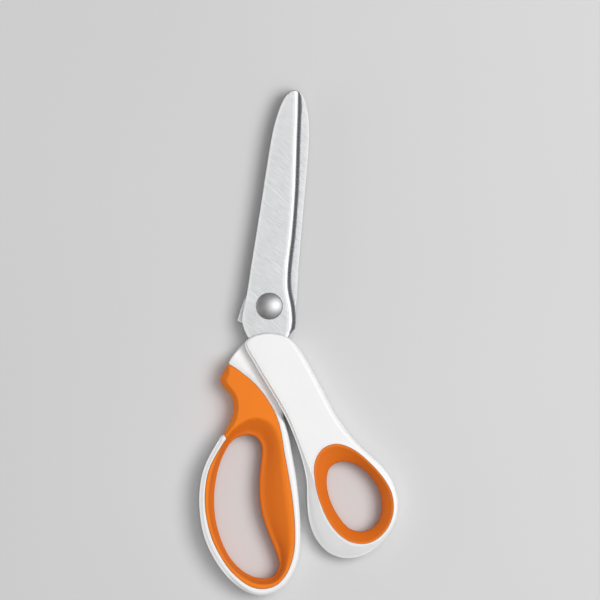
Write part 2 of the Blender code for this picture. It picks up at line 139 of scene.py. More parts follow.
# Handle outlines, as (x, y, width of the edge, its drop, 0 for rounded or 1 for slanting).
FRONT_OUTLINE = [
    (1.5, -12.7, 0.7, 0.9, 0.0), (9.5, -13.2, 1.0, 1.3, 0.0), (15.6, -17.3, 2.0, 2.4, 0.0),
    (22.1, -25.3, 2.4, 2.8, 0.0), (29.7, -36.2, 2.4, 2.8, 0.0), (37.3, -47.1, 2.4, 2.8, 0.0),
    (43.7, -54.3, 2.2, 2.6, 0.0), (51.1, -60.9, 1.8, 2.3, 0.0), (60.4, -67.4, 1.5, 2.0, 0.0),
    (67.3, -74.4, 1.4, 2.0, 0.0), (71.6, -85.2, 1.4, 2.0, 0.0), (71.2, -94.5, 1.4, 2.0, 0.0),
    (66.8, -103.8, 1.6, 2.4, 0.4), (59.7, -110.9, 4.2, 2.7, 1.0), (50.7, -114.3, 7.4, 4.3, 1.0),
    (41.5, -112.6, 9.0, 4.9, 1.0), (33.9, -105.4, 8.6, 4.8, 1.0), (29.6, -95.0, 6.6, 4.0, 1.0),
    (27.2, -80.0, 3.4, 2.5, 1.0), (22.5, -67.3, 1.6, 1.4, 1.0), (14.3, -52.0, 1.5, 1.3, 1.0),
    (5.3, -39.9, 1.5, 1.3, 1.0), (-5.0, -26.4, 1.4, 1.25, 1.0), (-9.6, -18.8, 1.2, 1.1, 1.0),
    (-6.6, -15.4, 0.8, 1.0, 0.2), (-2.9, -13.7, 0.7, 0.9, 0.0)
]
# The thumb handle's underside steps up on the left of this line, over the finger handle.
STEP_LINE = [
    (10.4, -5.0), (11.4, -14.0), (12.4, -24.0), (13.4, -36.0), (14.0, -46.0), (15.0, -53.5)
]
STEP_REST = [(-20.0, -53.5), (-20.0, -5.0)]
FRONT_UNDERSIDE = 6.7     # of the thumb handle, where it lies over the finger handle
FRONT_THINNEST = 1.0
# Where the thumb ring sits in its handle, and the hole that it leaves.
THUMB_SEAT = [
    (39.4, -60.9), (47.5, -62.6), (55.5, -67.6), (62.5, -73.6), (67.8, -80.8), (69.7, -90.1),
    (67.0, -99.3), (60.0, -105.6), (50.8, -106.0), (42.3, -100.5), (35.1, -90.0), (31.0, -79.0),
    (30.1, -70.5), (33.2, -63.8)
]
THUMB_HOLE = [
    (42.6, -69.2), (48.6, -69.4), (54.8, -72.6), (60.0, -77.6), (63.4, -84.0), (64.2, -91.5),
    (62.2, -97.2), (56.8, -100.7), (50.4, -100.2), (44.6, -95.3), (39.6, -88.0), (37.0, -80.5),
    (37.0, -74.0), (39.0, -71.0)
]
# Upper half of the thumb grip's section: (share of the way to the hole, depth below the top).
THUMB_SECTION = [
    (0.0, 3.0), (0.0, 0.9), (0.04, 0.5), (0.12, 0.6), (0.3, 1.3), (0.55, 2.4), (0.78, 3.6),
    (0.9, 4.3), (0.975, 5.0), (1.0, 5.9)
]

# Kinds of edge, as (width, drop, 0 for rounded or 1 for slanting).
SMALL_ROUND = (1.0, 1.0, 0.0)
WIDE_ROUND = (1.7, 2.4, 0.0)
RAIL_SLANT = (1.9, 0.8, 1.0)
SEAM = (0.4, 0.25, 0.0)
REAR_OUTLINE = (
    with_edge(SMALL_ROUND, [(-1.0, -13.8), (6.5, -13.4), (10.2, -17.5), (11.6, -30.0)])
    + [(12.6, -42.0, 1.4, 1.8, 0.0), (13.2, -51.9, 1.5, 2.2, 0.0)]
    + with_edge(WIDE_ROUND, [(16.0, -58.9), (19.0, -68.1), (22.4, -79.5), (25.1, -91.1),
                             (27.2, -102.8), (28.2, -114.6), (27.0, -121.9), (23.2, -130.1),
                             (17.5, -135.0), (11.0, -136.7)])
    + [(3.4, -134.9, 1.7, 2.2, 0.4)]
    + with_edge(RAIL_SLANT, [(-5.4, -128.8), (-12.8, -120.4), (-18.0, -111.4), (-21.2, -100.8),
                             (-22.5, -91.0)])
    + [(-22.0, -81.4, 1.9, 0.9, 1.0), (-19.7, -73.4, 1.8, 1.0, 1.0), (-16.4, -65.9, 1.7, 1.0, 1.0),
       (-15.2, -63.5, 0.9, 1.1, 0.5), (-12.6, -62.4, 0.9, 1.0, 0.0)]
    + with_edge(SMALL_ROUND, [(-10.0, -57.6), (-8.6, -52.5), (-8.8, -47.5), (-12.4, -42.6),
                              (-16.4, -38.0), (-14.6, -32.5)])
    + [(-16.0, -28.9, 0.8, 1.2, 0.0), (-10.2, -19.0, 0.8, 1.0, 0.0), (-7.3, -16.3, 0.8, 1.0, 0.0)]
)
GRIP_OUTLINE = (
    [(-16.2, -29.8, 1.1, 1.5, 0.4)]
    + with_edge(SEAM, [(-9.1, -32.9), (-2.9, -36.9), (2.4, -41.8), (6.9, -47.2), (10.4, -53.0),
                       (13.2, -60.5), (14.9, -66.7), (17.9, -76.3), (21.1, -87.2), (23.5, -97.5),
                       (25.0, -106.9), (25.3, -114.9), (23.9, -122.6), (20.6, -129.0),
                       (16.4, -132.1), (10.8, -133.3), (4.6, -131.8), (-3.2, -126.6),
                       (-8.9, -120.2), (-13.3, -113.6), (-16.8, -105.7), (-19.1, -96.9),
                       (-19.9, -88.4), (-19.2, -80.0), (-16.5, -72.3)])
    + [(-13.7, -66.3, 0.4, 0.3, 0.0), (-12.9, -64.6, 0.4, 0.3, 0.0), (-13.6, -63.5, 0.6, 0.6, 0.2),
       (-14.2, -62.6, 1.4, 2.0, 0.5), (-12.9, -59.1, 2.0, 2.8, 0.6), (-11.6, -55.4, 2.3, 3.2, 0.6),
       (-11.1, -51.9, 2.4, 3.4, 0.6), (-11.3, -48.3, 2.4, 3.4, 0.6), (-12.4, -45.5, 2.5, 3.5, 0.6),
       (-14.7, -42.8, 2.6, 3.6, 0.6), (-17.5, -40.3, 2.8, 3.8, 0.6), (-19.2, -37.0, 3.2, 4.0, 0.6),
       (-17.7, -33.5, 2.8, 3.6, 0.6)]
)
# The finger opening: where its dish starts, the hole, and the grip's outline on the underside.
FINGER_MOUTH = [
    (-3.5, -54.0), (3.5, -53.2), (9.5, -56.0), (13.0, -63.5), (16.2, -75.0), (19.6, -87.0),
    (22.0, -98.0), (23.4, -108.5), (23.6, -116.5), (22.2, -123.8), (18.4, -129.4),
    (10.8, -131.2), (2.4, -128.6), (-6.0, -121.8), (-12.0, -113.0), (-16.2, -103.0),
    (-18.2, -91.5), (-17.6, -80.5), (-15.2, -71.0), (-11.8, -62.0)
]
FINGER_HOLE = [
    (-2.8, -61.8), (1.6, -62.9), (4.2, -66.6), (4.7, -74.0), (4.9, -82.5), (6.0, -90.5),
    (8.3, -98.5), (12.2, -106.8), (16.4, -114.4), (19.2, -121.5), (17.2, -126.8), (11.0, -128.6),
    (3.4, -126.8), (-4.2, -120.9), (-10.0, -112.0), (-13.8, -101.8), (-15.5, -90.5),
    (-14.9, -79.5), (-12.9, -71.5), (-9.0, -64.5)
]
UNDER_GRIP = [
    (-3.5, -54.0), (3.5, -53.4), (9.6, -56.6), (13.6, -64.0), (17.3, -75.0), (20.7, -87.0),
    (23.3, -98.0), (24.8, -108.5), (24.9, -116.5), (23.0, -124.6), (19.2, -130.4),
    (10.8, -132.8), (1.8, -130.4), (-7.0, -122.2), (-13.2, -113.2), (-17.6, -103.2),
    (-19.4, -91.5), (-19.0, -80.5), (-16.4, -71.4), (-11.8, -61.6)
]
# The dish round the finger hole, with a broad pad on its right.
DISH_DEPTH = 3.8
PAD_DEPTH = 0.35          # how much deeper the dish gets on the pad
PAD_HOLLOW = 0.7          # 0 would give the pad a straight slope
PAD_START = (2.0, -60.0)  # where the pad begins, on a line that leans by PAD_LEAN
PAD_LEAN = 0.12
PAD_FADE = 8.0
LIP_BAND = 2.3            # the dish's gentler lip round the hole
LIP_SHARE = 0.3           # at most this much of the dish's width
LIP_SLOPE = 0.09
LIP_ROUND = 0.9
# The finger handle's web, which the grip lies over.
WEB_BOTTOM = 4.8
WEB_TOP = 8.2
LINING = 2.5              # the web stops this far outside the hole
WEB_GAP = 0.1
REAR_THINNEST = 0.5
GRIP_THINNEST = 0.3
GRIP_CLEARANCE = 0.05     # between the grip's underside and the ground
# The recess under the thumb handle's edge: the foot of its slope, and the slope's top.
SLOPE_FOOT = [
    (-14.0, -12.0), (-10.0, -19.0), (-5.4, -26.7), (0.0, -33.3), (4.9, -40.2), (10.0, -47.4),
    (13.8, -52.6), (17.0, -57.0)
]
SLOPE_HEAD = [
    (-22.0, -18.0), (-17.6, -26.5), (-12.0, -31.6), (-5.2, -35.6), (1.2, -41.0), (7.6, -48.4),
    (12.8, -53.4), (16.2, -57.8)
]
RECESS_FLOOR = 6.2
RUN_UNDER = (80.0, 55.0)  # how far the floor runs on under the thumb handle
RECESS_HOLLOW = 2.8       # 1 would give a straight slope
SLOPE_SHARES = (0.0, 0.2, 0.35, 0.5, 0.63, 0.75, 0.86, 0.94, 1.0)
# A slanting edge: a narrow flat rim, the slant, and a fine groove beside the broad face.
RIM_WIDTH = 0.6
RIM_SHARE = 0.4           # the rim is at most this much of the edge
SLANT_POWER = 0.85        # 1 would give a straight slant
CORNER_ROUND = 0.2
GROOVE_DEPTH = 0.1
GROOVE_PLACE = 0.25
GROOVE_WIDTH = 0.2
PARTING_HEIGHT = 5.6      # of the mould's parting line round the white handles
CROWN = 0.2               # the handles' broad faces lie this far below their highest beads
BEAD_WIDTH = 0.7          # of the bead round the thumb ring's seat
SEAT_ROUND = 0.35         # of the seat's own edge
SEAT_GAP = 0.12           # between the seat and the thumb ring
UNDER_SHARE = 0.42        # the thumb handle's lower edges are this much of its upper ones
SEAM_WIDTH = 0.4          # of the finger handle's edges along the grip
SEAM_DROP = 0.25
HANDLE_WEAR = 0.6         # how far from their edges the handles are rubbed
DISH_SHADE_DEPTH = 0.5           # the grip is smoother, and darker as painted shade, where it is dished by this much
RING_SHADE_START = 0.15          # and the thumb ring has painted shade from this share of its width on


# ---------------------------------------------------------------- flat geometry

def spline(points, steps, closed=True):
    """A centripetal Catmull-Rom curve through the points; columns after x and y follow along."""
    rows = np.array(points, float)
    if closed:
        rows = np.vstack([rows[-1:], rows, rows[:2]])
    else:
        rows = np.vstack([2 * rows[:1] - rows[1:2], rows, 2 * rows[-1:] - rows[-2:-1]])
    curve = []
    for i in range(len(rows) - 3):
        for k in range(steps):
            curve.append(spline_point(rows[i:i + 4], k / steps))
    if not closed:
        curve.append(rows[-2])
    return np.array(curve)


def spline_point(rows, share):
    """A place between the middle two of four rows."""
    chords = np.linalg.norm(np.diff(rows[:, :2], axis=0), axis=1)
    knots = np.concatenate([[0.0], np.cumsum(np.sqrt(chords))])
    now = knots[1] + (knots[2] - knots[1]) * share
    level = list(rows)
    for gap in (1, 2, 3):
        level = [(level[i] * (knots[i + gap] - now) + level[i + 1] * (now - knots[i]))
                 / (knots[i + gap] - knots[i]) for i in range(len(level) - 1)]
    return level[0]


def left_of(along):
    """Unit normals to the left of a line's directions."""
    length = np.linalg.norm(along, axis=1)[:, None]
    return np.stack([-along[:, 1], along[:, 0]], axis=1) / length


def inset(outline, distance):
    """A closed outline moved inwards by one distance, or by one for each point."""
    flat = outline[:, :2]
    along = np.roll(flat, -1, axis=0) - np.roll(flat, 1, axis=0)
    normal = left_of(along)
    after = np.roll(flat, -1, axis=0)
    area = np.sum(flat[:, 0] * after[:, 1] - after[:, 0] * flat[:, 1])
    return flat + normal * np.sign(area) * np.reshape(distance, (-1, 1))


def nearest(points, line, closed):
    """Distance from each point to a line, and the nearest place on it in steps from its start."""
    start = line[:, :2] if closed else line[:-1, :2]
    end = np.roll(line[:, :2], -1, axis=0) if closed else line[1:, :2]
    run = end - start
    offset = points[:, None, :] - start[None]
    share = np.clip(np.sum(offset * run, axis=2) / np.sum(run * run, axis=1), 0, 1)
    gap = np.linalg.norm(offset - share[..., None] * run, axis=2)
    best = np.argmin(gap, axis=1)
    row = np.arange(len(points))
    return gap[row, best], best + share[row, best]


def value_at(values, place):
    """A value that changes along a closed outline, at places given in steps."""
    index = np.floor(place).astype(int)
    share = place - index
    count = len(values)
    return values[index % count] * (1 - share) + values[(index + 1) % count] * share


def within(points, loop):
    """Which points are inside a closed outline."""
    x, y = points[:, 0], points[:, 1]
    result = np.zeros(len(points), bool)
    for a, b in zip(loop[:, :2], np.roll(loop[:, :2], -1, axis=0)):
        if a[1] != b[1]:
            side = (b[0] - a[0]) * (y - a[1]) / (b[1] - a[1]) + a[0]
            result ^= ((a[1] > y) != (b[1] > y)) & (x < side)
    return result


def beside(line, gap=0.06):
    """Two copies of a closed line, just inside and just outside it, for a wall in a relief."""
    return [(inset(line, gap), True), (inset(line, -gap), True)]


ROW_SHARE = 0.87          # rows of even triangles are this much of a side apart
CLEAR_SHARE = 0.45        # filler points keep this much of a side from lines


def filler_points(outline, spacing, keep_off):
    """An even grid of points inside an outline, clear of the given lines."""
    low, high = outline[:, :2].min(axis=0), outline[:, :2].max(axis=0)
    rows = []
    for j, y in enumerate(np.arange(low[1], high[1], spacing * ROW_SHARE)):
        xs = np.arange(low[0] + (j % 2) * spacing / 2, high[0], spacing)
        rows.append(np.stack([xs, np.full(len(xs), y)], axis=1))
    grid = np.vstack(rows)
    grid = grid[within(grid, outline)]
    for line, closed in keep_off:
        grid = grid[nearest(grid, line, closed)[0] > spacing * CLEAR_SHARE]
    return grid


# ---------------------------------------------------------------- solids

def new_piece(name, mesh, sharp_angle, wear_and_shade=None):
    """An object from a finished mesh; the optional values, one from 0 to 1 for each point, give
    wear and painted shade.
    """
    data = bpy.data.meshes.new(name)
    bmesh.ops.recalc_face_normals(mesh, faces=mesh.faces)
    mesh.to_mesh(data)
    mesh.free()
    if wear_and_shade is not None:
        attribute = data.attributes.new("wear_and_shade", "FLOAT", "POINT")
        attribute.data.foreach_set("value", np.asarray(wear_and_shade, np.float32))
    data.shade_smooth()
    data.set_sharp_from_angle(angle=math.radians(sharp_angle))
    piece = bpy.data.objects.new(name, data)
    bpy.context.scene.collection.objects.link(piece)
    return piece


def triangulated(outline, hole, lines, spacing):
    """Points and triangles that fill an outline round its hole, with edges along the lines."""
    every_line = [(outline, True), (hole, True)] + lines
    points = []
    edges = []
    for line, closed in every_line:
        first = len(points)
        points.extend(line[:, :2].tolist())
        count = len(line)
        last = count if closed else count - 1
        edges.extend((first + i, first + (i + 1) % count) for i in range(last))
    points.extend(filler_points(outline, spacing, every_line).tolist())
    flat, _, faces, *_ = delaunay_2d_cdt([Vector(p) for p in points], edges, [], 0, 1e-3)
    flat = np.array([tuple(p) for p in flat])
    faces = np.array(faces)
    middle = flat[faces].mean(axis=1)
    faces = faces[within(middle, outline) & ~within(middle, hole)]
    used, faces = np.unique(faces, return_inverse=True)
    return flat[used], faces.reshape(-1, 3)


def relief(name, outline, hole, lines, heights, wear_and_shade, spacing=1.1, sharp_angle=38,
           place=lambda point: point):
    """A closed solid over a flat outline; heights(points) gives its lower and upper surface."""
    flat, faces = triangulated(outline, hole, lines, spacing)
    low, high = heights(flat)
    mesh = bmesh.new()
    upper = [mesh.verts.new(Vector(place((x, y, z))) * MM) for (x, y), z in zip(flat, high)]
    lower = [mesh.verts.new(Vector(place((x, y, z))) * MM) for (x, y), z in zip(flat, low)]
    for a, b, c in faces:
        mesh.faces.new((upper[a], upper[b], upper[c]))
        mesh.faces.new((lower[c], lower[b], lower[a]))
    sides = [(a, b) for face in faces.tolist() for a, b in zip(face, face[1:] + face[:1])]
    walls = set(sides)
    for a, b in sides:
        if (b, a) not in walls:
            mesh.faces.new((upper[b], upper[a], lower[a], lower[b]))
    worn_and_shaded = wear_and_shade(flat)
    return new_piece(name, mesh, sharp_angle, np.concatenate([worn_and_shaded, worn_and_shaded]))


def ring_solid(name, rings, ring_shade, sharp_angle=50):
    """A closed tube from rings of points, joined end to end, with a value for each ring that gives
    painted shade.
    """
    mesh = bmesh.new()
    rows = [[mesh.verts.new(Vector(p) * MM) for p in ring] for ring in rings]
    for low, high in zip(rows, rows[1:] + rows[:1]):
        for i in range(len(low)):
            mesh.faces.new((low[i - 1], low[i], high[i], high[i - 1]))
    return new_piece(name, mesh, sharp_angle, np.repeat(ring_shade, len(rings[0])))


def step_of(ring, i):
    """The points of a ring just before i and at i, or the one point on the axis."""
    return [ring[i - 1], ring[i]] if len(ring) > 1 else ring


def turned(name, profile, segments=120, sharp_angle=35):
    """A round piece from (radius, height) points, closed or ending on the pivot axis."""
    mesh = bmesh.new()
    turn = [2 * math.pi * i / segments for i in range(segments)]
    rows = []
    for radius, z in profile:
        ring = [(radius * math.cos(a) * MM, radius * math.sin(a) * MM, z * MM) for a in turn]
        rows.append([mesh.verts.new(point) for point in (ring if radius > 0 else ring[:1])])
    pairs = list(zip(rows, rows[1:]))
    if len(rows[0]) > 1:
        pairs.append((rows[-1], rows[0]))
    for low, high in pairs:
        for i in range(segments):
            mesh.faces.new(step_of(low, i) + step_of(high, i)[::-1])
    return new_piece(name, mesh, sharp_angle)


def fit_to(piece, node, body, finishes):
    """Let a piece stand for a CAD node, ride on its body and take on its finishes."""
    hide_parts(node)
    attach(piece, body)
    for finish in finishes:
        piece.data.materials.append(finish)


# ---------------------------------------------------------------- blades

def tooth_wave(radius):
    """The teeth's wave, from -1 to 1, at a distance from the pivot."""
    turns = (radius - TOOTH_START) / TOOTH_PITCH
    top = math.asin(TOOTH_ROUNDING)
    return np.arcsin(TOOTH_ROUNDING * np.cos(2 * math.pi * turns)) / top


def smooth_step(value):
    """0 below 0, 1 above 1, and an even S in between."""
    value = np.clip(value, 0, 1)
    return value * value * (3 - 2 * value)


def blade_lines(heel):
    """The outline's cutting side, and the milled line, which runs straight on at both ends."""
    edge = spline(heel + CUTTING_EDGE + TIP, 10, closed=False)
    milled = spline(heel + CUTTING_EDGE, 10, closed=False)
    start = milled[0] - [0.0, LINE_RUN_ON]
    end = milled[-1] + (milled[-1] - milled[-3]) * LINE_RUN_ON
    milled = np.vstack([start, milled, end])
    edge[:, 0] -= BLADE_SKIN
    milled[:, 0] -= BLADE_SKIN
    return edge, milled


def blade_heights(milled, outline, sign):
    """Lower and upper surface of a blade whose outer face is up, from the mid-plane."""
    section = np.array(EDGE_SECTION)

    def heights(points):
        from_edge, _ = nearest(points, milled, False)
        from_side, _ = nearest(points, outline, True)
        upper = np.interp(from_edge, section[:, 0], section[:, 1])
        upper = upper - EDGE_BREAK_DROP * np.clip(1 - from_side / EDGE_BREAK_WIDTH, 0, 1) ** 2
        radius = np.linalg.norm(points, axis=1)
        teeth = TOOTH_HEIGHT * sign * tooth_wave(radius) + TOOTH_GAP
        in_lip = 1 - smooth_step((from_edge - LIP_WIDTH) / LIP_SHOULDER)
        in_lip = in_lip * smooth_step(radius - TOOTH_START + 1) * (points[:, 1] > 0)
        lower = INNER_FACE + (teeth - INNER_FACE) * in_lip
        return lower, upper
    return heights


def ridge_lines(milled):
    """Arcs round the pivot along each crest and root, from outside the edge across the lip."""
    lines = []
    forward = milled[milled[:, 1] > HEEL_TOP]
    radii = np.linalg.norm(forward, axis=1)
    angles = np.arctan2(forward[:, 1], forward[:, 0])
    for i in range(int((TOOTH_END - TOOTH_START) / (TOOTH_PITCH / 2))):
        middle = TOOTH_START + i * TOOTH_PITCH / 2
        for radius in (middle - CREST_HALF, middle, middle + CREST_HALF, middle + TOOTH_PITCH / 4):
            start = np.interp(radius, radii, angles)
            angle = start + np.linspace(-1.0, LIP_WIDTH + LIP_SHOULDER + LINE_MARGIN, 9) / radius
            lines.append((radius * np.stack([np.cos(angle), np.sin(angle)], axis=1), False))
    return lines


def edge_offsets(line, distances):
    """Lines beside the cutting edge, towards the spine."""
    normal = left_of(np.gradient(line, axis=0))
    return [(line + normal * distance, False) for distance in distances]


def blade_banks(blade, milled, side):
    """Give the blade's faces their finishes: flat, shoulder and ground side painted darker as
    shade, ground teeth.
    """
    centres = np.array([tuple(face.center) for face in blade.data.polygons]) / MM
    lean = np.array([face.normal.z for face in blade.data.polygons]) * side
    flat = centres[:, :2] * [side, 1]
    from_edge, _ = nearest(flat, milled, False)
    bank = np.zeros(len(flat), np.int32)
    # The shoulder and the ground side get the steels with painted shade.
    bank[(lean > WALL_LEAN) & (from_edge < SIDE_WIDTH + SHOULDER_WIDTH)] = 1
    bank[(lean > -WALL_LEAN) & (from_edge < SIDE_WIDTH)] = 2
    in_lip = (from_edge < LIP_WIDTH + LIP_SHOULDER) & (flat[:, 1] > TEETH_FROM)
    bank[(lean <= -WALL_LEAN) & in_lip] = 3
    blade.data.polygons.foreach_set("material_index", bank)


def make_blade(name, shape, side, body, finishes):
    """side is 1 for the front blade and -1 for the rear one, which is turned over."""
    heel, spine, tang = shape
    edge, milled = blade_lines(heel)
    spine = spline(spine, 8, closed=False)[1:]
    outline = np.vstack([edge, spine, np.array(tang)])
    turn = np.linspace(0, 2 * math.pi, 48, endpoint=False)
    hole = PIVOT_HOLE * np.stack([np.cos(turn), np.sin(turn)], axis=1)
    distances = [distance for distance, _ in EDGE_SECTION[1:]]
    lines = edge_offsets(milled, distances + [SIDE_WIDTH, LIP_WIDTH, LIP_WIDTH + LIP_SHOULDER])
    lines += ridge_lines(milled)
    lines.append((inset(outline, EDGE_BREAK_WIDTH), True))

    def place(point):
        return point[0] * side, point[1], MID_PLANE + point[2] * side

    def wear_and_shade(points):
        return np.exp(-nearest(points, outline, True)[0] / EDGE_WEAR)

    heights = blade_heights(milled, outline, side)
    blade = relief(name + "_steel", outline, hole, lines, heights, wear_and_shade,
                   spacing=BLADE_SPACING, sharp_angle=30, place=place)
    fit_to(blade, name, body, finishes)
    blade_banks(blade, milled, side)


# ---------------------------------------------------------------- pivot

def dome_points(reach, rise, high):
    """The cap of a ball, from its top down to a rim, for turning."""
    ball = (reach ** 2 + rise ** 2) / (2 * rise)
    half = math.asin(reach / ball)
    angles = [half * i / DOME_STEPS for i in range(DOME_STEPS)]
    return [(ball * math.sin(a), high - ball * (1 - math.cos(a))) for a in angles]


def make_screw(finish):
    low, high = node_span("pivot_screw", 2)
    seat = BLADE_TOP + SCREW_GAP
    reach = node_span("pivot_screw", 0)[1] - SCREW_SKIN
    rise = high - seat - SCREW_RIM
    skirt = [(reach, high - rise - 0.08), (reach, seat + 0.12), (reach - 0.15, seat)]
    shank = [(SHANK_RADIUS, seat), (SHANK_RADIUS, low), (0.0, low)]
    screw = turned("screw", dome_points(reach, rise, high) + skirt + shank, sharp_angle=50)
    fit_to(screw, "pivot_screw", "rear_half", [finish])


def make_nut(finish):
    """A flat round nut with a rounded outer edge and a well round the shank."""
    radius = node_span("pivot_nut", 0)[1]
    top = node_span("pivot_nut", 2)[1]
    edge = [(0.75, 0.0), (0.45, 0.1), (0.12, 0.4), (0.0, 0.75), (0.0, top - 0.15), (0.15, top)]
    outside = [(0.0, 0.0)] + [(radius - inward, z) for inward, z in edge]
    well = [(5.6, top), (5.6, 1.8), (3.2, 1.8), (3.2, 0.8), (0.0, 0.8)]
    nut = turned("nut", outside + well, sharp_angle=40)
    fit_to(nut, "pivot_nut", "rear_half", [finish])


def make_spacer(finish):
    """The bearing washer between the blades, with its outer edges cut off."""
    bottom, top = node_span("pivot_spacer", 2)
    radius = node_span("pivot_spacer", 0)[1]
    cut = 0.25
    lower = [(PIVOT_HOLE, bottom), (radius - cut, bottom), (radius, bottom + cut)]
    upper = [(radius, top - cut), (radius - cut, top), (PIVOT_HOLE, top)]
    spacer = turned("spacer", lower + upper)
    fit_to(spacer, "pivot_spacer", "rear_half", [finish])


def make_spring_washer(finish):
    """A dished ring of even thickness."""
    bottom, top = node_span("spring_washer", 2)
    radius = node_span("spring_washer", 0)[1]
    thick = 0.5
    lower = [(PIVOT_HOLE, top - thick), (radius, bottom)]
    upper = [(radius, bottom + thick), (PIVOT_HOLE, top)]
    washer = turned("dished_washer", lower + upper)
    fit_to(washer, "spring_washer", "rear_half", [finish])


# ---------------------------------------------------------------- handles

def edge_rings(outline, shares=(0.03, 0.1, 0.2, 0.32, 0.5, 0.75, 1.0)):
    """Closed lines inside an outline that follow its rounded or slanting edge."""
    return [(inset(outline, outline[:, 2] * share), True) for share in shares]


def edge_fall(points, outline):
    """The drop below the flat near an outline: a round, or a slant with a narrow rim."""
    gap, place = nearest(points, outline, True)
    width = value_at(outline[:, 2], place)
    drop = value_at(outline[:, 3], place)
    slant = np.clip(value_at(outline[:, 4], place), 0, 1)
    away = 1 - np.clip(gap / width, 0, 1)
    rounded = drop * (1 - np.sqrt(1 - away ** 2))
    rim = np.minimum(RIM_WIDTH, RIM_SHARE * width)
    climb = np.clip((gap - rim) / (width - rim), 0, 1)
    outward = 1 - np.clip(gap / CORNER_ROUND, 0, 1)
    corner = CORNER_ROUND * (1 - np.sqrt(1 - outward ** 2))
    groove = GROOVE_DEPTH * np.exp(-((gap - width - GROOVE_PLACE) / GROOVE_WIDTH) ** 2)
    slanting = drop * (1 - climb ** SLANT_POWER) + corner + groove
    return rounded * (1 - slant) + slanting * slant


def groove_lines(outline):
    """Lines beside and along the fine groove inside a slanting edge."""
    start = outline[:, 2] + GROOVE_PLACE
    return [(inset(outline, start + offset), True) for offset in (-GROOVE_WIDTH, 0.0, GROOVE_WIDTH)]


def rim_wear(outline):
    """Wear that is full on an outline and fades over the first millimetre inside it."""
    def wear_and_shade(points):
        return np.exp(-nearest(points, outline, True)[0] / HANDLE_WEAR)
    return wear_and_shade


def make_front_handle(finish):
    outline = spline(FRONT_OUTLINE, 8)
    outline[:, :2] = inset(outline, SKIN)
    seat = spline(THUMB_SEAT, 10)
    step = np.array(STEP_LINE + STEP_REST)

    def heights(points):
        from_seat, _ = nearest(points, seat, True)
        fall = edge_fall(points, outline)
        bead = CROWN * np.exp(-(from_seat / BEAD_WIDTH) ** 2)
        seat_round = SEAT_ROUND * np.clip(1 - from_seat / SEAT_ROUND, 0, 1) ** 2
        upper = HANDLE_TOP - CROWN - fall + bead - seat_round
        lower = UNDER_SHARE * fall + seat_round
        lower = np.where(within(points, step), FRONT_UNDERSIDE, lower)
        return np.minimum(lower, upper - FRONT_THINNEST), upper

    lines = edge_rings(outline) + groove_lines(outline) + beside(step)
    lines += [(inset(seat, -distance), True) for distance in (0.12, 0.25, 0.5, 0.9, 1.5)]
    handle = relief("thumb_handle", outline, seat, lines, heights, rim_wear(outline))
    fit_to(handle, "front_handle", "front_half", [finish])


def make_thumb_grip(finish):
    seat = inset(spline(THUMB_SEAT, 10), SEAT_GAP)
    hole = spline(THUMB_HOLE, 10)[:, :2]
    half = spline(THUMB_SECTION, 5, closed=False)
    upper = [(share, HANDLE_TOP - depth) for share, depth in half]
    lower = [(share, depth) for share, depth in half[::-1]]
    rings = []
    for share, z in upper + lower:
        flat = seat + (hole - seat) * share
        rings.append([(x, y, z) for x, y in flat])
    # Painted shade: the ring is darker down its funnel, past its flat top.
    wear_and_shade = np.array([smooth_step(share / RING_SHADE_START) for share, _ in upper + lower])
    grip = ring_solid("thumb_lining", rings, wear_and_shade)
    fit_to(grip, "thumb_grip", "front_half", [finish])


def dish_fall(points, mouth, hole):
    """How far the finger opening's dish lies below the handle's flat."""
    from_hole, _ = nearest(points, hole, True)
    from_mouth, _ = nearest(points, mouth, True)
    across = from_hole + from_mouth
    lip = np.minimum(LIP_BAND, LIP_SHARE * across)
    inward = 1 - np.clip((from_hole - lip) / (across - lip), 0, 1)
    right = points[:, 0] - PAD_START[0]
    ahead = points[:, 1] - PAD_START[1]
    pad = smooth_step((right + ahead * PAD_LEAN) / PAD_FADE)
    hollow = inward * (1 - PAD_HOLLOW * pad * (1 - inward))
    fall = (DISH_DEPTH + PAD_DEPTH * pad) * hollow
    fall += LIP_SLOPE * (lip - np.minimum(from_hole, lip))
    roll = 1 - np.clip(from_hole / LIP_ROUND, 0, 1)
    fall += LIP_ROUND * (1 - np.sqrt(1 - roll ** 2))
    return np.where(within(points, mouth), fall, 0.0)


def make_finger_grip(finish):
    outline = spline(GRIP_OUTLINE, 8)
    outline[:, :2] = inset(outline, SKIN)
    mouth = spline(FINGER_MOUTH, 10)
    hole = spline(FINGER_HOLE, 10)
    under = spline(UNDER_GRIP, 8)
    core = spline(REAR_OUTLINE, 8)

    def heights(points):
        fall = edge_fall(points, outline) + dish_fall(points, mouth, hole)
        upper = HANDLE_TOP - CROWN - fall
        over_core = within(points, core) & ~within(points, under)
        lower = np.where(over_core, WEB_TOP + WEB_GAP, fall + GRIP_CLEARANCE)
        return np.minimum(lower, upper - GRIP_THINNEST), upper

    lines = edge_rings(outline) + beside(under) + beside(core) + [(mouth, True)]
    steps = (0.03, 0.12, 0.3, 0.55, 0.9, 1.5, 2.2)
    lines += [(inset(hole, -distance), True) for distance in steps]

    # Painted shade: the grip is darker where its dish is deep.
    def wear_and_shade(points):
        return smooth_step(dish_fall(points, mouth, hole) / DISH_SHADE_DEPTH)

    grip = relief("finger_lining", outline, hole, lines, heights, wear_and_shade)
    fit_to(grip, "finger_grip", "rear_half", [finish])


def slope_line(share):
    """A line along the recess's slope, from its foot at 0 to its top at 1."""
    foot = spline(SLOPE_FOOT, 6, closed=False)
    head = spline(SLOPE_HEAD, 6, closed=False)
    return foot + (head - foot) * share


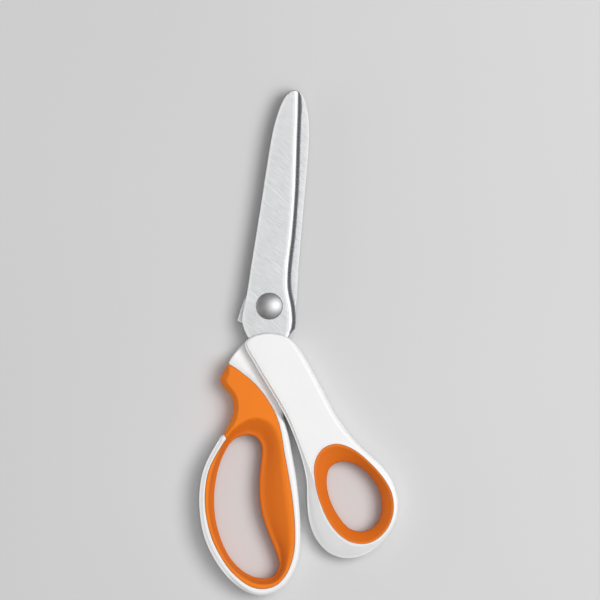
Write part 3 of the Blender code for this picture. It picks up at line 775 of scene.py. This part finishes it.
def recess_height(points):
    """The finger handle's top: a floor under the thumb handle, a hollow slope, then the flat."""
    foot = slope_line(0.0)
    head = slope_line(1.0)
    ramp = np.vstack([foot, head[::-1]])
    floor = np.vstack([foot, foot[::-1] + RUN_UNDER])
    from_foot, _ = nearest(points, foot, False)
    from_head, _ = nearest(points, head, False)
    climb = (from_foot / (from_foot + from_head + 1e-6)) ** RECESS_HOLLOW
    top = HANDLE_TOP - CROWN
    height = np.where(within(points, ramp), RECESS_FLOOR + (top - RECESS_FLOOR) * climb, top)
    return np.where(within(points, floor), RECESS_FLOOR, height)


def seam_fall(points, line):
    """The small round of a handle's edge along a line."""
    return SEAM_DROP * np.clip(1 - nearest(points, line, True)[0] / SEAM_WIDTH, 0, 1) ** 2


def make_rear_handle(finish):
    outline = spline(REAR_OUTLINE, 8)
    outline[:, :2] = inset(outline, SKIN)
    grip = spline(GRIP_OUTLINE, 8)[:, :2]
    under = spline(UNDER_GRIP, 8)
    hole = inset(spline(FINGER_HOLE, 8), -LINING)

    def heights(points):
        fall = edge_fall(points, outline)
        upper = recess_height(points) - fall - seam_fall(points, grip)
        upper = np.where(within(points, grip), WEB_TOP, upper)
        lower = fall + seam_fall(points, under)
        lower = np.where(within(points, under), WEB_BOTTOM, lower)
        return lower, np.maximum(upper, lower + REAR_THINNEST)

    lines = edge_rings(outline, (0.03, 0.12, 0.3, 0.6, 1.0)) + groove_lines(outline)
    lines += beside(grip) + beside(under)
    lines += [(inset(grip, -distance), True) for distance in (0.2, 0.45)]
    lines += [(slope_line(share), False) for share in SLOPE_SHARES]
    handle = relief("finger_handle", outline, hole, lines, heights, rim_wear(outline))
    fit_to(handle, "rear_handle", "rear_half", [finish])


# ---------------------------------------------------------------- materials

class Finish:
    """A Principled material with helpers for its procedural nodes."""

    def __init__(self, name, roughness, metallic=0.0):
        self.material = bpy.data.materials.new(name)
        self.material.use_nodes = True
        self.tree = self.material.node_tree
        self.shader = self.tree.nodes["Principled BSDF"]
        self.shader.inputs["Roughness"].default_value = roughness
        self.shader.inputs["Metallic"].default_value = metallic
        self.place = self.tree.nodes.new("ShaderNodeTexCoord").outputs["Object"]

    def node(self, kind, **values):
        """A new node; each value goes to the input or else the setting of that name."""
        made = self.tree.nodes.new(kind)
        for name, value in values.items():
            if name in made.inputs:
                made.inputs[name].default_value = value
            else:
                setattr(made, name, value)
        return made

    def link(self, output, target):
        self.tree.links.new(output, target)

    def mapped(self, scale, turn=0.0):
        """Object coordinates turned about Z, then scaled to one unit per feature."""
        turned_place = self.node("ShaderNodeMapping")
        turned_place.inputs["Rotation"].default_value = (0.0, 0.0, turn)
        self.link(self.place, turned_place.inputs["Vector"])
        scaled = self.node("ShaderNodeMapping")
        scaled.inputs["Scale"].default_value = scale
        self.link(turned_place.outputs["Vector"], scaled.inputs["Vector"])
        return scaled.outputs["Vector"]

    def even(self, scale):
        """Object coordinates scaled alike along every axis."""
        return self.mapped((scale, scale, scale))

    def noise(self, vector, detail=3.0, roughness=0.55):
        made = self.node("ShaderNodeTexNoise")
        made.inputs["Scale"].default_value = 1.0
        made.inputs["Detail"].default_value = detail
        made.inputs["Roughness"].default_value = roughness
        self.link(vector, made.inputs["Vector"])
        return made.outputs["Fac"]

    def spread(self, value, low, high, start=0.3, end=0.7):
        """A value between low and high, as another one goes from start to end."""
        made = self.node("ShaderNodeMapRange")
        made.inputs["From Min"].default_value = start
        made.inputs["From Max"].default_value = end
        made.inputs["To Min"].default_value = low
        made.inputs["To Max"].default_value = high
        self.link(value, made.inputs["Value"])
        return made.outputs["Result"]

    def mixed(self, value, first, second):
        """A colour between two, each given as numbers or as another node's output."""
        made = self.node("ShaderNodeMix", data_type="RGBA")
        sockets = [socket for socket in made.inputs if socket.type == "RGBA"]
        for socket, colour in zip(sockets, (first, second)):
            if isinstance(colour, tuple):
                socket.default_value = (*colour, 1.0)
            else:
                self.link(colour, socket)
        self.link(value, made.inputs["Factor"])
        return [socket for socket in made.outputs if socket.type == "RGBA"][0]

    def calculated(self, operation, first, second):
        made = self.node("ShaderNodeMath", operation=operation)
        for socket, value in zip(made.inputs, (first, second)):
            if isinstance(value, float):
                socket.default_value = value
            else:
                self.link(value, socket)
        return made.outputs["Value"]

    def wear_and_shade(self):
        """The value that the piece's mesh carries for wear and for painted shade."""
        made = self.node("ShaderNodeAttribute")
        made.attribute_name = "wear_and_shade"
        return made.outputs["Fac"]

    def colour(self, output):
        self.link(output, self.shader.inputs["Base Color"])

    def bump(self, height, strength, distance, under=None):
        """Bump the surface, on top of another bump's normal if there is one."""
        made = self.node("ShaderNodeBump")
        made.inputs["Strength"].default_value = strength
        made.inputs["Distance"].default_value = distance
        self.link(height, made.inputs["Height"])
        if under is not None:
            self.link(under, made.inputs["Normal"])
        self.link(made.outputs["Normal"], self.shader.inputs["Normal"])
        return made.outputs["Normal"]


BRUSH_ANGLE = math.radians(32)     # the brush lines run down to the right
# Features per metre, along and across the brush lines and through the steel.
FINE_LINES = (180.0, 4200.0, 900.0)
BROAD_BANDS = (60.0, 900.0, 300.0)
SCRATCHES = (45.0, 2600.0, 400.0)
SCRATCH_TURN = 0.09
SATIN_GRAIN = 5000.0
SATIN_CLOUD = 250.0
PLASTIC_CLOUD = 70.0


def brushed_steel(name, dark, light, rough_low, rough_high, turn=BRUSH_ANGLE, strength=0.35):
    """Steel with brush lines, a few longer scratches, and edges rubbed bright."""
    finish = Finish(name, rough_low, 1.0)
    fine = finish.noise(finish.mapped(FINE_LINES, turn), 4.0, 0.65)
    broad = finish.noise(finish.mapped(BROAD_BANDS, turn), 2.0)
    scratch = finish.noise(finish.mapped(SCRATCHES, turn + SCRATCH_TURN), 1.0)
    brushed = finish.mixed(finish.spread(fine, 0.0, 1.0), dark, light)
    bright = tuple(min(1.0, level * 1.12) for level in light)
    scratched = finish.mixed(finish.spread(scratch, 0.0, 0.8, 0.66, 0.74), brushed, bright)
    finish.colour(finish.mixed(finish.wear_and_shade(), scratched, bright))
    finish.link(finish.spread(broad, rough_low, rough_high), finish.shader.inputs["Roughness"])
    finish.bump(fine, strength, 0.00003)
    return finish.material


def satin_steel(name, dark, light, roughness):
    """Fine-grained steel without a direction."""
    finish = Finish(name, roughness, 1.0)
    grain = finish.noise(finish.even(SATIN_GRAIN), 2.0)
    cloud = finish.noise(finish.even(SATIN_CLOUD), 2.0)
    finish.colour(finish.mixed(finish.spread(cloud, 0.0, 1.0), dark, light))
    matt = finish.spread(cloud, roughness - 0.04, roughness + 0.05)
    finish.link(matt, finish.shader.inputs["Roughness"])
    finish.bump(grain, 0.15, 0.00002)
    return finish.material


def parting_line(finish, under):
    """A fine raised line round the sides, where the mould's halves met."""
    parts = finish.node("ShaderNodeSeparateXYZ")
    finish.link(finish.place, parts.inputs["Vector"])
    away = finish.calculated("SUBTRACT", parts.outputs["Z"], PARTING_HEIGHT * MM)
    ridge = finish.spread(finish.calculated("ABSOLUTE", away, 0.0), 1.0, 0.0, 0.00004, 0.00016)
    finish.bump(ridge, 0.6, 0.00006, under)


def moulded_plastic(name, colours, worn_and_shaded, roughness, grain_size, grain_strength, gloss=0.5,
                    parted=False):
    """Fine-grained plastic or rubber, smoother and in a second colour where its mesh marks it: worn
    at rubbed edges, painted shade in the grips' hollows.
    """
    dark, light = colours
    finish = Finish(name, roughness)
    finish.shader.inputs["Specular IOR Level"].default_value = gloss
    grain = finish.noise(finish.even(1.0 / (grain_size * MM)), 2.0)
    cloud = finish.noise(finish.even(PLASTIC_CLOUD), 3.0)
    wear_and_shade = finish.wear_and_shade()
    fresh = finish.mixed(finish.spread(cloud, 0.0, 1.0), dark, light)
    finish.colour(finish.mixed(wear_and_shade, fresh, worn_and_shaded))
    matt = finish.spread(cloud, roughness - 0.03, roughness + 0.05)
    rubbed = finish.calculated("MULTIPLY", wear_and_shade, 0.08)
    finish.link(finish.calculated("SUBTRACT", matt, rubbed), finish.shader.inputs["Roughness"])
    grained = finish.bump(grain, grain_strength, 0.00004)
    if parted:
        parting_line(finish, grained)
    return finish.material


# ---------------------------------------------------------------- studio

LOOK_AT = (14.0, 4.6)          # middle of the view, on the shears
VIEW_WIDTH = 283.6
LEAN = math.radians(6.84)      # the blades lean to the right in the view
CAMERA_HEIGHT = 2200.0
SENSOR_WIDTH = 36.0
# In metres and watts, as (name, place, size, power) for a light.
FLOOR_HALF = 6.0
FLOOR_GAP = 0.0001             # the floor lies this far below the shears
AIR_COLOUR = (1.0, 0.99, 0.98, 1.0)
AIR_STRENGTH = 0.23
LIGHTS = [
    ("key", (0.67, 0.2, 1.07), (0.7, 0.7), 8.2),
    ("overhead", (0.4, 0.05, 1.45), (1.5, 1.5), 10.4),
    ("rim_left", (-1.1, -0.1, 0.28), (1.4, 0.35), 2.4)
]


def make_floor():
    mesh = bpy.data.meshes.new("floor")
    signs = [(-1, -1), (1, -1), (1, 1), (-1, 1)]
    corners = [(x * FLOOR_HALF, y * FLOOR_HALF, 0) for x, y in signs]
    mesh.from_pydata(corners, [], [(0, 1, 2, 3)])
    floor = bpy.data.objects.new("floor", mesh)
    floor.location.z = -FLOOR_GAP
    bpy.context.scene.collection.objects.link(floor)
    finish = Finish("floor_paper", 0.9)
    cloud = finish.spread(finish.noise(finish.even(3.0), 2.0), 0.0, 1.0)
    finish.colour(finish.mixed(cloud, (0.64, 0.64, 0.645), (0.665, 0.665, 0.67)))
    mesh.materials.append(finish.material)


def area_light(name, place, size, power):
    """A rectangular light that points at the pivot."""
    data = bpy.data.lights.new(name, "AREA")
    data.shape = "RECTANGLE"
    data.size, data.size_y = size
    data.energy = power
    light = bpy.data.objects.new(name, data)
    light.location = place
    light.rotation_euler = (-Vector(place)).to_track_quat("-Z", "Y").to_euler()
    bpy.context.scene.collection.objects.link(light)


def make_light():
    scene = bpy.context.scene
    scene.view_settings.view_transform = "Standard"
    world = bpy.data.worlds.new("studio")
    world.use_nodes = True
    air = world.node_tree.nodes["Background"]
    air.inputs["Color"].default_value = AIR_COLOUR
    air.inputs["Strength"].default_value = AIR_STRENGTH
    scene.world = world
    for name, place, size, power in LIGHTS:
        area_light(name, place, size, power)


def make_camera():
    data = bpy.data.cameras.new("camera")
    data.sensor_width = SENSOR_WIDTH
    data.lens = data.sensor_width * (CAMERA_HEIGHT - HANDLE_TOP) / VIEW_WIDTH
    data.clip_end = 20.0
    camera = bpy.data.objects.new("camera", data)
    camera.location = (LOOK_AT[0] * MM, LOOK_AT[1] * MM, CAMERA_HEIGHT * MM)
    camera.rotation_euler = (0.0, 0.0, LEAN)
    bpy.context.scene.collection.objects.link(camera)
    bpy.context.scene.camera = camera


# ---------------------------------------------------------------- the shears

def blade_steels():
    """A blade's finishes: flat, shoulder and ground side painted darker as shade, ground teeth."""
    flat = brushed_steel("blade_flat", (0.345, 0.35, 0.355), (0.525, 0.53, 0.535), 0.30, 0.42)
    # The shoulder is a darker copy of the flat steel: painted shade that dims the light's
    # reflection on the round.
    shoulder = brushed_steel("blade_shoulder_painted_shade", (0.30, 0.305, 0.31), (0.36, 0.365, 0.37),
                             0.35, 0.43, turn=1.5, strength=0.1)
    # The ground side is painted darker as shade.
    ground = brushed_steel("blade_side_painted_shade", (0.30, 0.31, 0.34), (0.40, 0.41, 0.44),
                           0.24, 0.30, turn=0.0, strength=0.2)
    teeth = brushed_steel("blade_teeth", (0.55, 0.55, 0.57), (0.72, 0.72, 0.73),
                          0.22, 0.32, turn=0.0, strength=0.2)
    return [flat, shoulder, ground, teeth]


def make_shears():
    steels = blade_steels()
    satin = satin_steel("screw_satin", (0.41, 0.41, 0.42), (0.46, 0.46, 0.47), 0.48)
    black = ((0.015, 0.015, 0.017), (0.03, 0.03, 0.032))
    acetal = moulded_plastic("acetal_black", black, black[1],
                             roughness=0.4, grain_size=0.2, grain_strength=0.1)
    pale = ((0.85, 0.85, 0.855), (0.875, 0.875, 0.875))
    white = moulded_plastic("white_plastic", pale, (0.89, 0.89, 0.88), parted=True,
                            roughness=0.36, grain_size=0.35, grain_strength=0.08)
    rubber = ((0.85, 0.20, 0.006), (0.90, 0.22, 0.008))
    # The second, deeper orange is painted shade in the finger grip's dish and down the thumb ring.
    orange = moulded_plastic("soft_orange", rubber, (0.72, 0.16, 0.008), gloss=0.25,
                             roughness=0.62, grain_size=0.22, grain_strength=0.22)
    spring = satin_steel("spring_steel", (0.36, 0.36, 0.38), (0.44, 0.44, 0.46), 0.3)

    make_blade("rear_blade", REAR_SHAPE, -1, "rear_half", steels)
    make_blade("front_blade", FRONT_SHAPE, 1, "front_half", steels)
    make_screw(satin)
    make_nut(satin)
    make_spacer(acetal)
    make_spring_washer(spring)
    make_rear_handle(white)
    make_finger_grip(orange)
    make_front_handle(white)
    make_thumb_grip(orange)


make_camera()
make_shears()
make_floor()
make_light()
